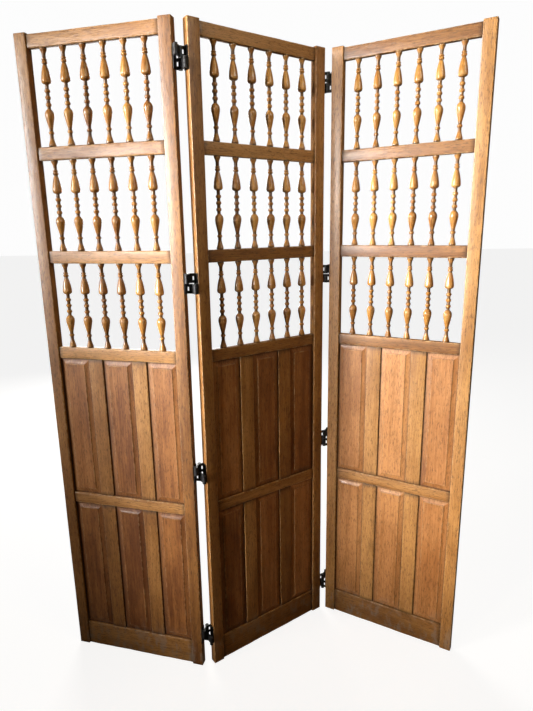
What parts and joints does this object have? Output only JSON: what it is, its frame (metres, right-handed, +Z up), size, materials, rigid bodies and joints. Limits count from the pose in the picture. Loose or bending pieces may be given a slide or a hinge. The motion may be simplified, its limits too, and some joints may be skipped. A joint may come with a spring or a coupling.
{
  "type": "folding screen",
  "caption": "Free-standing folding wooden screen with turned spindles above raised panels, its leaves joined by double-action hinges that fold the wings front or back.",
  "frame": {"origin": "floor level, under the centre of the middle leaf's base rail", "axes": "+Z up; the zigzag of leaves runs along X and the screen's front faces -Y"},
  "size_m": [1.2236, 0.3059, 1.83],
  "materials": {
    "frame_wood": "satin",
    "panel_wood": "satin",
    "spindle_wood": "gloss",
    "black_iron": "satin",
    "screw_steel": "satin"
  },
  "bodies": {
    "left_leaf": {"left_leaf_base_rail": "frame_wood", "left_leaf_high_rail": "frame_wood", "left_leaf_hinge_pins": "black_iron", "left_leaf_hinge_plates": "black_iron", "left_leaf_hinge_screws": "screw_steel", "left_leaf_hinge_webs": "black_iron", "left_leaf_left_stile": "frame_wood", "left_leaf_lower_muntins": "frame_wood", "left_leaf_lower_raised_panels": "panel_wood", "left_leaf_lower_spindles": "spindle_wood", "left_leaf_middle_rail": "frame_wood", "left_leaf_middle_spindles": "spindle_wood", "left_leaf_right_stile": "frame_wood", "left_leaf_seat_rail": "frame_wood", "left_leaf_top_rail": "frame_wood", "left_leaf_top_spindles": "spindle_wood", "left_leaf_upper_muntins": "frame_wood", "left_leaf_upper_raised_panels": "panel_wood", "left_leaf_waist_rail": "frame_wood"},
    "middle_leaf": {"middle_leaf_base_rail": "frame_wood", "middle_leaf_high_rail": "frame_wood", "middle_leaf_hinge_pins": "black_iron", "middle_leaf_hinge_plates": "black_iron", "middle_leaf_hinge_screws": "screw_steel", "middle_leaf_hinge_webs": "black_iron", "middle_leaf_left_stile": "frame_wood", "middle_leaf_lower_muntins": "frame_wood", "middle_leaf_lower_raised_panels": "panel_wood", "middle_leaf_lower_spindles": "spindle_wood", "middle_leaf_middle_rail": "frame_wood", "middle_leaf_middle_spindles": "spindle_wood", "middle_leaf_right_stile": "frame_wood", "middle_leaf_seat_rail": "frame_wood", "middle_leaf_top_rail": "frame_wood", "middle_leaf_top_spindles": "spindle_wood", "middle_leaf_upper_muntins": "frame_wood", "middle_leaf_upper_raised_panels": "panel_wood", "middle_leaf_waist_rail": "frame_wood"},
    "right_leaf": {"right_leaf_base_rail": "frame_wood", "right_leaf_high_rail": "frame_wood", "right_leaf_hinge_pins": "black_iron", "right_leaf_hinge_plates": "black_iron", "right_leaf_hinge_screws": "screw_steel", "right_leaf_hinge_webs": "black_iron", "right_leaf_left_stile": "frame_wood", "right_leaf_lower_muntins": "frame_wood", "right_leaf_lower_raised_panels": "panel_wood", "right_leaf_lower_spindles": "spindle_wood", "right_leaf_middle_rail": "frame_wood", "right_leaf_middle_spindles": "spindle_wood", "right_leaf_right_stile": "frame_wood", "right_leaf_seat_rail": "frame_wood", "right_leaf_top_rail": "frame_wood", "right_leaf_top_spindles": "spindle_wood", "right_leaf_upper_muntins": "frame_wood", "right_leaf_upper_raised_panels": "panel_wood", "right_leaf_waist_rail": "frame_wood"}
  },
  "joints": [
    {"name": "left_wing_fold", "type": "hinge", "parent": "middle_leaf", "child": "left_leaf", "pos_m": [-0.1921, -0.1235, 0.9], "axis": [0, 0, 1], "range_deg": [-130, 50]},
    {"name": "right_wing_fold", "type": "hinge", "parent": "middle_leaf", "child": "right_leaf", "pos_m": [0.1921, 0.1235, 0.9], "axis": [0, 0, 1], "range_deg": [-115, 65]}
  ]
}
